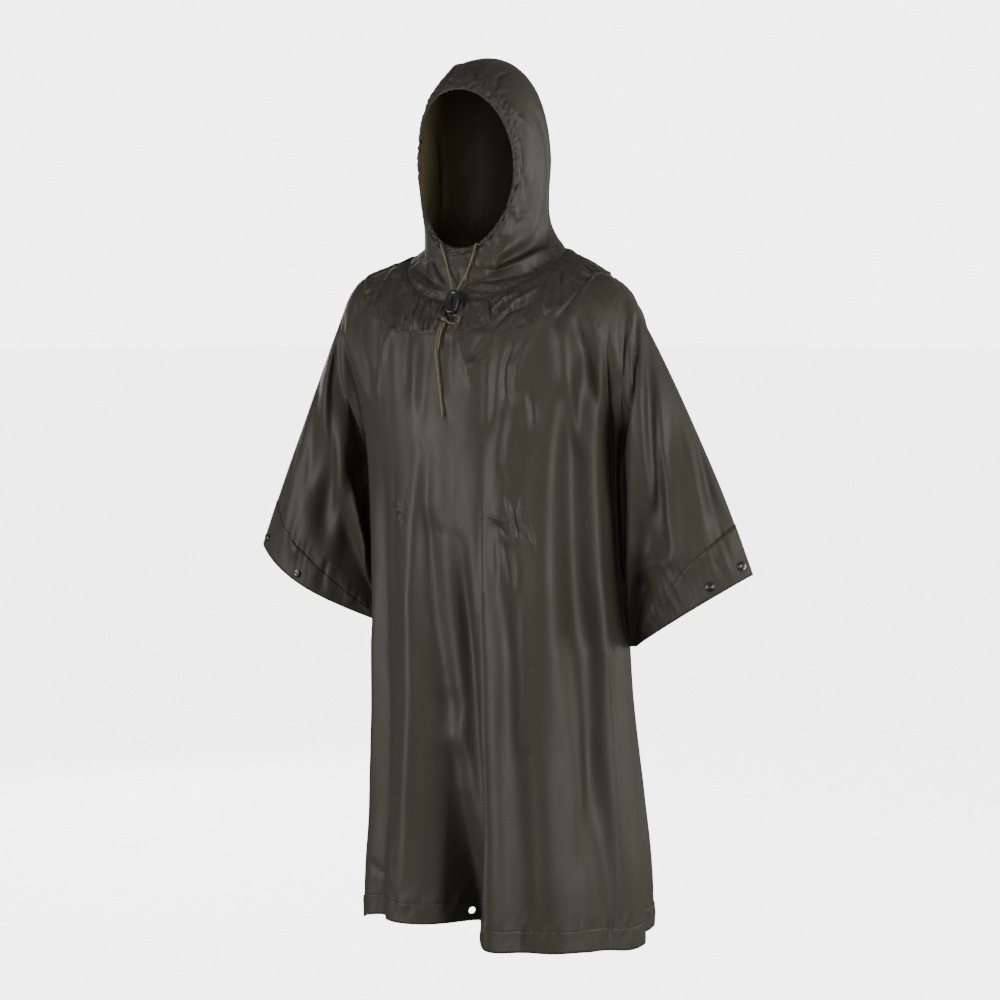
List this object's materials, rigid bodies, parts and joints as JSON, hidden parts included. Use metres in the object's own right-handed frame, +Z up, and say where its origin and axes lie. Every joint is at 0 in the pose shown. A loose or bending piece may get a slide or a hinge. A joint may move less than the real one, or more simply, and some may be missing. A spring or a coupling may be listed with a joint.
{
  "type": "hooded rain poncho worn on a wearer",
  "caption": "Knee-length hooded rain poncho hanging as worn, with wide open sleeves, a drawcord at the face opening and a hollow body.",
  "frame": {"origin": "middle of the neck opening at the height of the shoulder tops, where the wearer carries the garment", "axes": "+Z up, -Y to the front of the garment, +X to the wearer's left"},
  "size_m": [0.8868, 0.4021, 1.368],
  "materials": {
    "shell": "satin coated ripstop",
    "band": "satin coated ripstop, doubled and stitched",
    "cord": "braided cord",
    "lock": "satin black",
    "snap": "dark gunmetal"
  },
  "bodies": {
    "root": {"front_panel": "shell", "back_panel": "shell", "front_yoke": "shell", "back_yoke": "shell", "hood_left": "shell", "hood_right": "shell", "hood_casing": "band", "front_hem_band": "band", "back_hem_band": "band", "left_cuff_front": "band", "left_cuff_back": "band", "right_cuff_front": "band", "right_cuff_back": "band", "left_cuff_snap_tip": "snap", "left_cuff_snap_front": "snap", "right_cuff_snap_tip": "snap", "right_cuff_snap_front": "snap", "hem_grommet": "snap", "hood_eyelet_left": "snap", "hood_eyelet_right": "snap", "cord_lock": "lock", "drawcord_left": "cord", "drawcord_right": "cord", "drawcord_loop": "cord", "drawcord_end_long": "cord", "drawcord_end_short": "cord", "drawcord_knot": "cord"}
  },
  "joints": []
}
